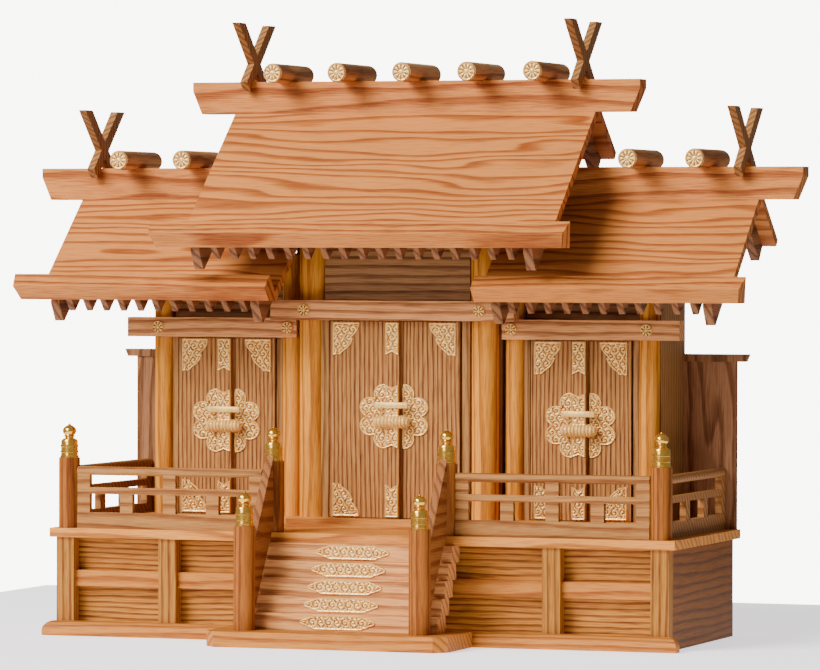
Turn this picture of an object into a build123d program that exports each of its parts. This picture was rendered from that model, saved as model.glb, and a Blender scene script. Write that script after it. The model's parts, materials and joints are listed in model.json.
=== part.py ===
from build123d import *
import math
import os

# Household shrine in zelkova wood: three cells side by side under stepped gable roofs,
# a gallery with railings and a short stair in front, on a panelled base.
# Millimetres. While it is built, y = 0 is the front edge of the gallery floor, -y is the
# front and z = 0 the ground; every piece is moved to the middle of the depth when saved.

seat = 0.05            # air in a glued or housed joint
seam = 0.1             # air between pieces that are only laid on each other
past = 1.0             # how far a cutter runs past the piece it cuts

plumb = 90.0001        # an upright line, in degrees from level

# Gallery floor and base
base_half = 210.8
floor_overhang = 4.2
floor_depth = 151.0
floor_thick = 6.0
base_height = 64.5
base_front = 2.0
base_depth = 146.0
post_wide = 12.2
post_deep = 9.0
inner_post_x = 132.2
panel_thick = 5.0
panel_setback = 3.5
mid_rail_setback = 4.0
mid_rail_low = 32.3
mid_rail_tall = 10.4
moulding_overhang = 7.2
moulding_deep = 8.3
moulding_tall = 9.5
moulding_round = 6.5

# Stair
plate_half = 82.0
plate_front = -61.5
plate_thick = 10.0
plate_chamfer = 7.5
step_count = 5
step_half = 68.0
step_deep = 15.4
stair_angle = 58.0
top_step_front = -6.0
rail_thick = 5.2
rail_reach = 23.7
stair_post_x = 59.7
stair_post_y = -44.4
stair_post_top = 77.0
plaque_half = 25.5
plaque_tall = 9.4
plaque_thick = 0.8
plaque_drop = 0.8
plaque_lobe_rise = 0.7
plaque_end_lobe = 0.8

# Round posts and their onion caps
post_radius = 7.0
gallery_post_y = 7.6
corner_post_x = 204.0
gallery_post_tall = 46.2
cap_radius = 5.6
cap_flare = 0.6
cap_band = 0.35
cap_band_tall = 0.9
cap_skirt_tall = 11.2
cap_bands = 3
cap_shoulder = 1.6
cap_neck_radius = 2.9
cap_neck_tall = 1.4
cap_bulb_radius = 4.8
cap_bulb_tall = 6.8
cap_bulb_widest = 0.4
cap_tip_radius = 0.9
cap_tip_tall = 1.5

# Gallery railings
rail_y = 6.6
low_board_tall = 10.4
low_board_deep = 5.0
mid_bar_low = 22.6
mid_bar_tall = 4.4
top_bar_height = 37.8
top_bar_radius = 2.9
strut_wide = 8.8
strut_deep = 4.2
front_struts = 5
side_rail_x = 204.0
side_struts = 4

# Bodies of the three cells
back_y = 150.0
back_thick = 5.0
wall_thick = 6.0
wall_lap = 2.0
sill_tall = 6.5
main_sill_half = 74.0
main_sill_front = 67.0
side_sill_outer = 181.0
side_sill_front = 80.5
main_pillar_x = 60.2
main_pillar_y = 82.6
main_pillar_radius = 9.3
side_centre = 124.4
side_pillar_gap = 45.95
side_pillar_y = 91.0
side_pillar_radius = 6.5

# Tie beams over the doors
beam_tall = 13.0
beam_deep = 11.0
main_beam_low = 207.7
main_beam_half = 85.0
main_beam_front = 66.9
side_beam_low = 195.7
side_beam_front = 81.5
side_beam_outer = 193.4
side_beam_inner = 72.0
rosette_radius = 4.1
rosette_thick = 1.6
main_rosette_shift = 1.0
outer_rosette_shift = 0.7
frieze_thick = 5.0
frieze_setback = 1.0

# Doors
main_door_front = 73.6
side_door_front = 88.0
leaf_thick = 4.0
main_door_half = 45.5
side_door_half = 34.3
door_gap_low = 0.5
door_gap_top = 0.6
door_meeting_gap = 0.4
pivot_inset = 2.0
pivot_radius = 1.2
pivot_clearance = 0.08
pivot_long = 3.0
pivot_end_gap = 0.6
batten_half = 4.8
batten_proud = 4.5
jamb_gap = 1.2
jamb_thick = 5.4
jamb_deep = 7.0
jamb_setback = 1.5
fitting_thick = 0.7
fitting_margin = 0.6
corner_plate_wide = 16.5
corner_plate_tall = 20.5
corner_plate_edge = 2.4
crest_radius = 22.6
crest_lobe = 6.4
crest_lobes = 8
crest_turn = 22.5
crest_split = 1.2
crest_height = 0.49
lock_half = 9.8
lock_tall = 4.0
lock_proud = 1.6
lock_bar_up = 5.5
lock_low = 3.4
lock_radius = 3.6

# Roofs: pitches in degrees from level
seat_front = 109.6
seat_wide = 14.8
rear_reach = 156.2
rear_pitch = 39.5
board_thick = 5.7
main_seat = 345.3
main_eave_y = 1.85
main_pitch = 40.6
side_seat = 287.6
side_eave_y = 29.4
side_pitch = 41.0
main_roof_half = 127.0
side_roof_inner = 71.0
side_roof_outer = 238.5
eave_bar_wide = 12.4
eave_bar_tall = 11.8
eave_bar_stand = 15.0
eave_bar_overhang = 17.4
side_eave_bar_overhang = 14.5
eave_bar_rake = 5.0
rafter_reach = 7.0
rafter_end_cut = 135.0
rafter_wide = 4.1
rafter_deep = 5.6
rafter_end_setback = 3.0
main_rafter_pitch = 12.7
main_rafters = 17
side_rafter_pitch = 12.3
side_rafters = 11
barge_thick = 6.0
barge_inset = 9.5
barge_deeper = 6.4
barge_drop = 6.8
barge_face = 2.6
barge_face_ahead = 7.4
barge_toe = 2.0

# Ridges, their logs and the crossed boards
ridge_thick = 14.3
ridge_tall = 21.4
ridge_half = 157.6
side_ridge_outer = 268.2
ridge_rake = 6.5
ridge_cheek = 6.0
ridge_clearance = 0.3
log_radius = 6.5
log_long = 65.0
log_front = 86.0
log_sink = 1.4
log_round = 4.5
log_pitch = 45.55
side_log_x = 156.4
log_cap_radius = 6.0
log_cap_thick = 0.9
crossed_x = 116.2
side_crossed_x = 227.2
crossed_thick = 5.0
crossed_wide = 8.6
crossed_angle = 43.7
crossed_above = 12.2
crossed_tall = 26.8
crossed_leg = 22.6

# Side wings behind the gallery
wing_outer = 213.1
wing_top = 181.0
wing_thick = 4.0
wing_cap_outer = 221.7
wing_cap_tall = 5.0
wing_cap_deep = 6.4
wing_cap_flare = 2.2

floor_half = base_half + floor_overhang
moulding_half = base_half + moulding_overhang
floor_top = base_height + floor_thick
sill_top = floor_top + sill_tall
step_rise = (base_height - plate_thick) / step_count
step_run = step_rise / math.tan(math.radians(stair_angle))
centre_y = (plate_front + rear_reach) / 2
base_back = base_front + base_depth
panel_front = base_front + post_deep + panel_setback
wall_out = main_pillar_x + main_pillar_radius
side_inner_x = side_centre - side_pillar_gap
side_outer_x = side_centre + side_pillar_gap


def block(x0, x1, y0, y1, z0, z1):
    """A box between two corners."""
    box = Box(x1 - x0, y1 - y0, z1 - z0, align=(Align.MIN, Align.MIN, Align.MIN))
    return Pos(x0, y0, z0) * box


def side_profile(points, x0, x1):
    """A (y, z) outline drawn out from x0 to x1."""
    face = make_face(Polyline(*points, close=True))
    return Pos(x0, 0, 0) * extrude(Plane.YZ * face, amount=x1 - x0)


def front_profile(points, y0, y1):
    """An (x, z) outline drawn out from y0 back to y1."""
    face = make_face(Polyline(*points, close=True))
    return Pos(0, y1, 0) * extrude(Plane.XZ * face, amount=y1 - y0)


def both(shape):
    """The piece and its mirror image on the other side."""
    return [shape, mirror(shape, about=Plane.YZ)]


def upright(x, y, radius, z0, z1):
    """A round post."""
    post = Cylinder(radius, z1 - z0, align=(Align.CENTER, Align.CENTER, Align.MIN))
    return Pos(x, y, z0) * post


def save(name, solids):
    """Write one node, moved so that the origin is under the middle of the whole."""
    body = solids[0] if len(solids) == 1 else Compound(children=solids)
    export_step(body.moved(Location((0, -centre_y, 0))), f"parts/{name}.step")


def step_along(point, angle, distance):
    """The (y, z) point reached from another at an angle above level."""
    turn = math.radians(angle)
    return (point[0] + distance * math.cos(turn), point[1] + distance * math.sin(turn))


def crossing(point_a, angle_a, point_b, angle_b):
    """Where two sloping (y, z) lines meet."""
    a = math.tan(math.radians(angle_a))
    b = math.tan(math.radians(angle_b))
    y = (point_b[1] - point_a[1] + a * point_a[0] - b * point_b[0]) / (a - b)
    return (y, point_a[1] + a * (y - point_a[0]))


class Roof:
    """The side view of one gable roof, from its seat height, eave and front pitch."""

    def __init__(self, seat_z, eave_y, pitch):
        self.pitch = pitch
        self.across = pitch - 90
        self.front_top = (seat_front, seat_z)
        self.rear_top = (seat_front + seat_wide, seat_z)
        self.middle = (seat_front + seat_wide / 2, seat_z)
        surface = crossing(self.front_top, pitch, (eave_y, 0), plumb)
        rise = eave_bar_stand / math.cos(math.radians(pitch))
        self.eave = (eave_y, surface[1] + rise)
        self.rear_end = crossing(self.rear_top, -rear_pitch, (rear_reach, 0), plumb)

    def front_line(self, depth):
        """A point on the line this far below the front surface, in the plane of the eave bar's back."""
        return step_along(self.eave, self.across, eave_bar_stand + depth)

    def rear_line(self, depth):
        """A point on the line this far below the rear surface, at the rear end."""
        return step_along(self.rear_end, -rear_pitch - 90, depth)

    def peak(self, depth):
        """Where the front and rear lines at this depth meet."""
        return crossing(self.front_line(depth), self.pitch, self.rear_line(depth), -rear_pitch)

    def front_middle(self, depth, air=0):
        """The front line at this depth carried on to the middle of the ridge."""
        middle = (self.middle[0] - air, 0)
        return crossing(self.front_line(depth), self.pitch, middle, plumb)

    def rear_middle(self, depth, air=0):
        middle = (self.middle[0] + air, 0)
        return crossing(self.rear_line(depth), -rear_pitch, middle, plumb)

    def front_board(self):
        top = (self.middle[0] - seam / 2, self.middle[1])
        low = self.front_middle(board_thick, seam / 2)
        return [self.front_top, self.front_line(0), self.front_line(board_thick), low, top]

    def rear_board(self):
        top = (self.middle[0] + seam / 2, self.middle[1])
        low = self.rear_middle(board_thick, seam / 2)
        return [self.rear_top, top, low, self.rear_line(board_thick), self.rear_end]

    def bar_arris(self):
        return step_along(self.eave, self.pitch + 180, eave_bar_wide)

    def bar_toe(self):
        """The lower front edge of the eave bar: its underside is level from here back."""
        return step_along(self.bar_arris(), self.across, eave_bar_tall)

    def bar_heel(self, air=0):
        toe = self.bar_toe()
        back = step_along(self.eave, self.pitch, air)
        return crossing((toe[0], toe[1] - air), 0, back, self.across)

    def eave_bar(self):
        return [self.eave, self.bar_arris(), self.bar_toe(), self.bar_heel()]

    def under_bar(self, point, angle, depth):
        """The edge of a piece that starts at a point, passes under the bar and ends at its back."""
        level = self.bar_heel(seam)
        front = crossing(point, angle, level, 0)
        back = step_along(self.eave, self.pitch, seam)
        corner = crossing(self.front_line(depth), self.pitch, back, self.across)
        return [point, front, level, corner]


def rafter_outlines(roof):
    """Front and rear rafters, which meet under the ridge."""
    top = board_thick
    low = board_thick + rafter_deep
    foot = step_along(roof.front_line(low), roof.pitch + 180, rafter_reach)
    air = seam / 2
    front = roof.under_bar(foot, rafter_end_cut, top)
    front += [roof.front_middle(top, air), roof.front_middle(low, air)]
    tail_top = step_along(roof.rear_line(top), 180 - rear_pitch, rafter_end_setback)
    tail_low = step_along(roof.rear_line(low), 180 - rear_pitch, rafter_end_setback)
    rear = [roof.rear_middle(low, air), roof.rear_middle(top, air), tail_top, tail_low]
    return front, rear


def barge_outlines(roof):
    """Front and rear gable boards under the roof board's ends."""
    top = board_thick + seam
    low = board_thick + rafter_deep + barge_deeper
    foot = roof.front_line(board_thick + rafter_deep)
    foot = step_along(foot, roof.pitch + 180, rafter_reach)
    heel = crossing(roof.front_line(low), roof.pitch, (0, foot[1] - barge_drop), 0)
    toe = (heel[0] - barge_toe, heel[1])
    face_low = (toe[0] - barge_face_ahead, roof.bar_toe()[1] - barge_face)
    air = seam / 2
    front = [heel, toe] + roof.under_bar(face_low, plumb, top)
    front += [roof.front_middle(top, air), roof.front_middle(low, air)]
    rear = [roof.rear_middle(low, air), roof.rear_middle(top, air), roof.rear_line(top),
            roof.rear_line(low)]
    return front, rear


def gable_slot(roof):
    """The whole outline of a gable board, to cut its place out of what stands under it."""
    front, rear = barge_outlines(roof)
    return front[:-2] + rear[1:] + [roof.peak(board_thick + rafter_deep + barge_deeper)]


def wall_top(roof, y0, y1):
    """The top of a wall from y0 back to y1, under the rafters."""
    low = board_thick + rafter_deep + seat
    start = crossing(roof.front_line(low), roof.pitch, (y0, 0), plumb)
    end = crossing(roof.rear_line(low), -rear_pitch, (y1, 0), plumb)
    return [start, roof.peak(low), end]


def top_under_front(roof, y):
    """The height under the front rafters at y."""
    return wall_top(roof, y, y)[0][1]


def top_under_rear(roof, y):
    """The height under the rear rafters at y."""
    return wall_top(roof, y, y)[2][1]


main_roof = Roof(main_seat, main_eave_y, main_pitch)
side_roof = Roof(side_seat, side_eave_y, side_pitch)
main_top = main_beam_low - seat
side_top = side_beam_low - seat


def clear_of_barge(piece):
    """Cut the place of the side roofs' inner gable board out of what stands under it."""
    inner = side_roof_inner + barge_inset
    slot = side_profile(gable_slot(side_roof), inner - seat, inner + barge_thick + seat)
    return piece - slot


def base_posts():
    outer = block(base_half - post_wide, base_half, base_front, base_front + post_deep,
                  0, base_height)
    inner = block(inner_post_x - post_wide / 2, inner_post_x + post_wide / 2,
                  base_front, base_front + post_deep, 0, base_height)
    return both(outer) + both(inner)


def base_mid_rails():
    y0 = base_front + mid_rail_setback
    y1 = panel_front
    z0 = mid_rail_low
    z1 = mid_rail_low + mid_rail_tall
    post_edge = inner_post_x - post_wide / 2
    middle = block(-post_edge, post_edge, y0, y1, z0, z1)
    outer = block(inner_post_x + post_wide / 2, base_half - post_wide, y0, y1, z0, z1)
    return [middle] + both(outer)


def base_front_panel():
    inside = base_half - panel_thick
    return [block(-inside, inside, panel_front, panel_front + panel_thick, 0, base_height)]


def base_side_panels():
    side = block(base_half - panel_thick, base_half, base_front + post_deep, base_back,
                 0, base_height)
    return both(side)


def base_back_panel():
    inside = base_half - panel_thick
    return [block(-inside, inside, base_back - panel_thick, base_back, 0, base_height)]


def base_moulding():
    strip = block(-moulding_half, moulding_half, base_front - moulding_deep, base_front,
                  0, moulding_tall)
    top_edges = strip.faces().sort_by(Axis.Z)[-1].edges()
    back_edge = top_edges.sort_by(Axis.Y)[-1]
    rounded = [edge for edge in top_edges if edge != back_edge]
    return [fillet(rounded, moulding_round)]


def floor_board():
    return [block(-floor_half, floor_half, 0, floor_depth, base_height, floor_top)]


def stair_plate():
    plate = block(-plate_half, plate_half, plate_front, base_front - moulding_deep - seam,
                  0, plate_thick)
    corners = plate.edges().filter_by(Axis.Z).group_by(Axis.Y)[0]
    return [chamfer(corners, plate_chamfer)]


def stair_steps():
    steps = []
    for level in range(step_count):
        below_top = step_count - 1 - level
        front = top_step_front - below_top * step_run
        low = plate_thick + level * step_rise
        steps.append(block(-step_half, step_half, front, front + step_deep,
                           low, low + step_rise - seam))
    return steps


def step_plaques():
    """A long gilt plate on the riser of each step, with scalloped ends."""
    plaques = []
    lobe = plaque_tall / 4
    end = plaque_end_lobe * lobe
    for level in range(step_count):
        below_top = step_count - 1 - level
        front = top_step_front - below_top * step_run
        middle = plate_thick + (level + 1) * step_rise - plaque_drop - plaque_tall / 2
        shape = Rectangle(2 * (plaque_half - 3 * lobe), plaque_tall)
        for side in (-1, 1):
            shape += Pos(side * (plaque_half - 3 * lobe), lobe * plaque_lobe_rise) * Circle(lobe)
            shape += Pos(side * (plaque_half - 3 * lobe), -lobe * plaque_lobe_rise) * Circle(lobe)
            shape += Pos(side * (plaque_half - 2 * lobe), 0) * Circle(lobe)
            shape += Pos(side * (plaque_half - end), 0) * Circle(end)
        plate = extrude(Plane.XZ * shape, amount=plaque_thick)
        plaques.append(Pos(0, front, middle) * plate)
    return plaques


def stair_rails():
    """Sloping side boards that stand on the edges of the steps, between the posts."""
    slope = math.tan(math.radians(stair_angle))
    front = stair_post_y + post_radius
    back = gallery_post_y - post_radius
    nose = (top_step_front, base_height)
    reach = rail_reach / math.cos(math.radians(stair_angle))
    nose_height = base_height + seam
    floor_y = nose[0] + (floor_thick + seam) / slope
    outline = [
        (front, nose_height + slope * (front - nose[0])),
        (floor_y, floor_top + 2 * seam),
        (back, floor_top + 2 * seam),
        (back, nose_height + reach + slope * (back - nose[0])),
        (front, nose_height + reach + slope * (front - nose[0])),
    ]
    board = side_profile(outline, stair_post_x - rail_thick / 2, stair_post_x + rail_thick / 2)
    return both(board)


def rail_posts():
    stair = upright(stair_post_x, stair_post_y, post_radius, plate_thick, stair_post_top)
    post_top = floor_top + gallery_post_tall
    rear = upright(stair_post_x, gallery_post_y, post_radius, floor_top, post_top)
    corner = upright(corner_post_x, gallery_post_y, post_radius, floor_top, post_top)
    return both(stair) + both(rear) + both(corner)


def onion_cap(x, y, z):
    """A turned cap: a banded skirt, a neck, an onion and its tip."""
    points = [(0, 0), (cap_radius + cap_flare, 0), (cap_radius + cap_flare, cap_band_tall)]
    pitch = cap_skirt_tall / cap_bands
    for band in range(1, cap_bands + 1):
        top = band * pitch
        points += [(cap_radius, top - pitch + cap_band_tall + cap_flare),
                   (cap_radius, top - cap_band_tall - cap_band),
                   (cap_radius + cap_band, top - cap_band_tall), (cap_radius + cap_band, top)]
    neck = cap_skirt_tall + cap_shoulder
    bulb = neck + cap_neck_tall
    tip = bulb + cap_bulb_tall
    with BuildSketch(Plane.XZ) as outline:
        with BuildLine():
            Polyline(*points, (cap_neck_radius, neck), (cap_neck_radius, bulb))
            Spline((cap_neck_radius, bulb), (cap_bulb_radius, bulb + cap_bulb_tall * cap_bulb_widest),
                   (cap_tip_radius, tip), tangents=[(1, 0.2), (-0.3, 1)])
            Polyline((cap_tip_radius, tip), (0, tip + cap_tip_tall), (0, 0))
        make_face()
    return Pos(x, y, z) * revolve(outline.sketch, axis=Axis.Z)


def post_caps():
    post_top = floor_top + gallery_post_tall
    stair = onion_cap(stair_post_x, stair_post_y, stair_post_top)
    rear = onion_cap(stair_post_x, gallery_post_y, post_top)
    corner = onion_cap(corner_post_x, gallery_post_y, post_top)
    return both(stair) + both(rear) + both(corner)


def rail_panel(start, end, places, tall_places):
    """A railing along x: low board, struts, middle bar and round top bar, in one piece."""
    low = floor_top
    board = block(start, end, -low_board_deep / 2, low_board_deep / 2, low, low + low_board_tall)
    bar_low = low + mid_bar_low
    bar = block(start, end, -strut_deep / 2, strut_deep / 2, bar_low, bar_low + mid_bar_tall)
    top = Pos(start, 0, low + top_bar_height) * Rot(0, 90, 0) * Cylinder(
        top_bar_radius, end - start, align=(Align.CENTER, Align.CENTER, Align.MIN))
    panel = board + bar + top
    for place in places:
        top_z = low + top_bar_height if place in tall_places else bar_low + 1
        panel += block(place - strut_wide / 2, place + strut_wide / 2,
                       -strut_deep / 2, strut_deep / 2, low + 1, top_z)
    return panel


def spread(first, last, count):
    return [first + (last - first) * index / (count - 1) for index in range(count)]


def front_railings():
    start = stair_post_x + post_radius
    end = corner_post_x - post_radius
    places = spread(start + strut_wide / 2, end - strut_wide / 2, front_struts)
    panel = rail_panel(start, end, places, places[::2])
    return both(Pos(0, rail_y, 0) * panel)


def side_railings():
    start = gallery_post_y + post_radius
    end = back_y - back_thick
    places = spread(start + strut_wide / 2, end - strut_wide / 2, side_struts)
    panel = rail_panel(start, end, places, [places[0], places[-1]])
    return both(Pos(side_rail_x, 0, 0) * Rot(0, 0, 90) * panel)


def pivot_socket(x, y, face, into):
    """A cutter for a pivot's socket, from a face down into a sill (-1) or up into a beam (1)."""
    ends = (face - into * past, face + into * (pivot_long + pivot_end_gap))
    return upright(x, y, pivot_radius + pivot_clearance, min(ends), max(ends))


def door_pivots(centre, half, front):
    y = front + leaf_thick / 2
    return [(centre - half + pivot_inset, y), (centre + half - pivot_inset, y)]


def cell_sills():
    main = block(-main_sill_half, main_sill_half, main_sill_front, back_y, floor_top, sill_top)
    for x, y in door_pivots(0, main_door_half, main_door_front):
        main -= pivot_socket(x, y, sill_top, -1)
    side = block(main_sill_half + seam, side_sill_outer, side_sill_front, back_y,
                 floor_top, sill_top)
    for x, y in door_pivots(side_centre, side_door_half, side_door_front):
        side -= pivot_socket(x, y, sill_top, -1)
    return [main] + both(side)


def pillars():
    main_high = top_under_front(main_roof, main_pillar_y - main_pillar_radius)
    side_high = top_under_front(side_roof, side_pillar_y - side_pillar_radius)
    main = upright(main_pillar_x, main_pillar_y, main_pillar_radius, sill_top, main_high)
    inner = upright(side_inner_x, side_pillar_y, side_pillar_radius, sill_top, side_high)
    inner = clear_of_barge(inner)
    outer = upright(side_outer_x, side_pillar_y, side_pillar_radius, sill_top, side_high)
    return both(main) + both(inner) + both(outer)


def tie_beams():
    high = main_beam_low + beam_tall
    main = block(-main_beam_half, main_beam_half, main_beam_front, main_beam_front + beam_deep,
                 main_beam_low, high)
    for side in (-1, 1):
        main -= upright(side * main_pillar_x, main_pillar_y, main_pillar_radius + seat,
                        main_beam_low - past, high + past)
    for x, y in door_pivots(0, main_door_half, main_door_front):
        main -= pivot_socket(x, y, main_beam_low, 1)
    high = side_beam_low + beam_tall
    side = block(side_beam_inner, side_beam_outer, side_beam_front, side_beam_front + beam_deep,
                 side_beam_low, high)
    for x in (side_inner_x, side_outer_x):
        side -= upright(x, side_pillar_y, side_pillar_radius + seat, side_beam_low - past, high + past)
    for x, y in door_pivots(side_centre, side_door_half, side_door_front):
        side -= pivot_socket(x, y, side_beam_low, 1)
    return [main] + both(side)


def rosette(x, y, z):
    disc = Cylinder(rosette_radius, rosette_thick, align=(Align.CENTER, Align.CENTER, Align.MIN))
    return Pos(x, y, z) * Rot(90, 0, 0) * disc


def beam_rosettes():
    main = rosette(main_pillar_x + main_rosette_shift, main_beam_front, main_beam_low + beam_tall / 2)
    side_z = side_beam_low + beam_tall / 2
    inner = rosette(side_inner_x, side_beam_front, side_z)
    outer = rosette(side_outer_x + outer_rosette_shift, side_beam_front, side_z)
    return both(main) + both(inner) + both(outer)


def friezes():
    """Boards over the tie beams, between the pillars, up to the rafters."""
    y0 = main_beam_front + beam_deep + frieze_setback
    edge = main_pillar_x - main_pillar_radius - seat
    main = block(-edge, edge, y0, y0 + frieze_thick, main_beam_low,
                 top_under_front(main_roof, y0))
    y0 = side_beam_front + beam_deep + frieze_setback
    side = block(side_inner_x + side_pillar_radius + seat, side_outer_x - side_pillar_radius - seat,
                 y0, y0 + frieze_thick, side_beam_low, top_under_front(side_roof, y0))
    return [main] + both(clear_of_barge(side))


def side_walls():
    """Walls from the pillars to the back: two of the main cell, two of each side cell."""
    y1 = back_y - back_thick - seat
    y0 = main_pillar_y + main_pillar_radius - wall_lap
    outline = [(y0, sill_top), (y1, sill_top)] + wall_top(main_roof, y0, y1)[::-1]
    main = side_profile(outline, wall_out - wall_thick, wall_out)
    main -= upright(main_pillar_x, main_pillar_y, main_pillar_radius + seat, 0, main_seat)
    y0 = side_pillar_y + side_pillar_radius - wall_lap
    outline = [(y0, sill_top), (y1, sill_top)] + wall_top(side_roof, y0, y1)[::-1]
    inner = side_profile(outline, side_inner_x - side_pillar_radius,
                         side_inner_x - side_pillar_radius + wall_thick)
    inner -= upright(side_inner_x, side_pillar_y, side_pillar_radius + seat, 0, side_seat)
    outer = side_profile(outline, side_outer_x + side_pillar_radius - wall_thick,
                         side_outer_x + side_pillar_radius)
    outer -= upright(side_outer_x, side_pillar_y, side_pillar_radius + seat, 0, side_seat)
    return both(main) + both(inner) + both(outer)


def back_walls():
    y0 = back_y - back_thick
    main = block(-wall_out, wall_out, y0, back_y, sill_top, top_under_rear(main_roof, back_y))
    side = block(side_inner_x - side_pillar_radius, side_outer_x + side_pillar_radius,
                 y0, back_y, sill_top, top_under_rear(side_roof, back_y))
    return [main] + both(clear_of_barge(side))


def door_jamb(x0, x1, front, high):
    """An upright strip beside a doorway, set back behind the face of the doors."""
    y0 = front + jamb_setback
    return block(x0, x1, y0, y0 + jamb_deep, sill_top, high)


def door_jambs():
    """Strips that close the doorways at the pillars, hollowed to fit their round sides."""
    edge = main_door_half + jamb_gap
    main = door_jamb(edge, edge + jamb_thick, main_door_front, main_top)
    main -= upright(main_pillar_x, main_pillar_y, main_pillar_radius + seat, 0, main_seat)
    jambs = both(main)
    edge = side_door_half + jamb_gap
    reach = side_pillar_gap - side_pillar_radius
    for side, x in ((1, side_outer_x), (-1, side_inner_x)):
        ends = (side_centre + side * edge, side_centre + side * reach)
        jamb = door_jamb(min(ends), max(ends), side_door_front, side_top)
        jamb -= upright(x, side_pillar_y, side_pillar_radius + seat, 0, side_seat)
        jambs += both(jamb)
    return jambs


def leaf_span(centre, half, side):
    """The x range of one leaf: side -1 is the left one, 1 the right one."""
    inner = centre + side * door_meeting_gap / 2
    outer = centre + side * half
    return min(inner, outer), max(inner, outer)


def door_leaf(centre, half, front, beam_low, side):
    x0, x1 = leaf_span(centre, half, side)
    low = sill_top + door_gap_low
    high = beam_low - door_gap_top
    leaf = block(x0, x1, front, front + leaf_thick, low, high)
    x = centre + side * (half - pivot_inset)
    y = front + leaf_thick / 2
    leaf += upright(x, y, pivot_radius, low - door_gap_low - pivot_long, high + door_gap_top + pivot_long)
    if side < 0:
        leaf += block(centre - batten_half, centre + batten_half, front - batten_proud,
                      front, low, high)
        leaf -= block(centre - door_meeting_gap / 2, centre + batten_half + 1,
                      front - door_meeting_gap, front + leaf_thick, low - 1, high + 1)
    return leaf


def corner_plate(x_outer, front, z, toward_x, toward_z, size):
    """A stepped corner plate, from the outer corner of a leaf inwards."""
    wide = corner_plate_wide * size
    tall = corner_plate_tall
    outline = [(0, 0), (wide, 0), (wide * 0.86, tall * 0.42), (wide * 0.6, tall * 0.5),
               (wide * 0.45, tall * 0.85), (wide * 0.2, tall), (0, tall)]
    points = [(x_outer + toward_x * a, z + toward_z * b) for a, b in outline]
    return front_profile(points, front - fitting_thick, front)


def crest_half(centre, front, z, size, side):
    """Half of the cloud-edged crest: on the left leaf it is split by the meeting batten."""
    radius = crest_radius * size
    ring = radius - crest_lobe * size
    shape = Circle(ring)
    for lobe in range(crest_lobes):
        turn = math.radians(lobe * 360 / crest_lobes + crest_turn)
        shape += Pos(ring * math.cos(turn), ring * math.sin(turn)) * Circle(crest_lobe * size)
    plate = Pos(centre, front, z) * extrude(Plane.XZ * shape, amount=fitting_thick)
    span = radius + 1
    if side < 0:
        keep = block(centre - span, centre - batten_half, front - 1, front + 1, z - span, z + span)
    else:
        edge = batten_half + crest_split
        keep = block(centre + edge, centre + span, front - 1, front + 1, z - span, z + span)
    return plate & keep


def batten_fittings(centre, front, low, high, crest_z, size):
    """On the meeting batten: two strips, the middle of the crest, and the lock's bar and barrel."""
    face = front - batten_proud
    on_crest = face - fitting_thick
    half = batten_half - fitting_margin

    def strip(z0, z1):
        return block(centre - half, centre + half, on_crest, face, z0, z1)

    crest_tall = crest_radius * size - batten_half / 3
    pieces = [strip(high - fitting_margin - corner_plate_tall, high - fitting_margin),
              strip(low + fitting_margin, low + fitting_margin + corner_plate_tall),
              strip(crest_z - crest_tall, crest_z + crest_tall)]
    reach = lock_half * size
    bar = crest_z + lock_bar_up * size
    pieces.append(block(centre - reach, centre + reach, on_crest - lock_proud, on_crest, bar,
                        bar + lock_tall))
    barrel = Pos(centre, on_crest, crest_z - lock_low * size) * Rot(0, 90, 0) * Cylinder(
        lock_radius * size, 2 * reach)
    span = crest_radius
    behind = block(centre - span, centre + span, on_crest, front, crest_z - span, crest_z + span)
    pieces.append(barrel - behind)
    return pieces


def leaf_fittings(centre, half, front, beam_low, side):
    low = sill_top + door_gap_low
    high = beam_low - door_gap_top
    tall = high - low
    size = half / main_door_half
    x_outer = centre + side * (half - corner_plate_edge)
    pieces = [corner_plate(x_outer, front, high - fitting_margin, -side, -1, size),
              corner_plate(x_outer, front, low + fitting_margin, -side, 1, size)]
    crest_z = low + tall * crest_height
    pieces.append(crest_half(centre, front, crest_z, size, side))
    if side < 0:
        pieces += batten_fittings(centre, front, low, high, crest_z, size)
    return pieces


def wings():
    """A panel each side of the outer cells with a flared cap over it."""
    inner = side_outer_x + side_pillar_radius + seat
    y1 = back_y
    y0 = back_y - wing_thick
    panel = block(inner, wing_outer, y0, y1, floor_top, wing_top - seat)
    panel -= block(inner - 1, side_sill_outer + seat, y0 - 1, y1 + 1, 0, sill_top + seat)
    cap_y0 = (y0 + y1) / 2 - wing_cap_deep / 2
    outline = [(inner, wing_top), (wing_cap_outer - wing_cap_flare, wing_top),
               (wing_cap_outer, wing_top + wing_cap_tall), (inner, wing_top + wing_cap_tall)]
    cap = front_profile(outline, cap_y0, cap_y0 + wing_cap_deep)
    return both(panel) + both(cap)


def roof_spans():
    """Each roof's outline, inner edge and outer edge."""
    return ((main_roof, -main_roof_half, main_roof_half),
            (side_roof, side_roof_inner, side_roof_outer),
            (side_roof, -side_roof_outer, -side_roof_inner))


def drawn(outline_name):
    return [side_profile(getattr(roof, outline_name)(), x0, x1) for roof, x0, x1 in roof_spans()]


def raked_bar(roof, x0, x1, rake0, rake1):
    """The eave bar, with ends raked inwards towards its lower edge."""
    outline = roof.eave_bar()
    bar = side_profile(outline, x0, x1)
    low = roof.bar_toe()[1]
    high = roof.eave[1]
    front = roof.bar_arris()[0] - 1
    back = roof.bar_heel()[0] + 1
    ends = [(x0, high), (x0 + rake0, low), (x1 - rake1, low), (x1, high)]
    return bar & front_profile(ends, front, back)


def eave_bars():
    reach = main_roof_half + eave_bar_overhang
    main = raked_bar(main_roof, -reach, reach, eave_bar_rake, eave_bar_rake)
    outer = side_roof_outer + side_eave_bar_overhang
    side = raked_bar(side_roof, side_roof_inner, outer, 0, eave_bar_rake)
    return [main] + both(side)


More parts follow.
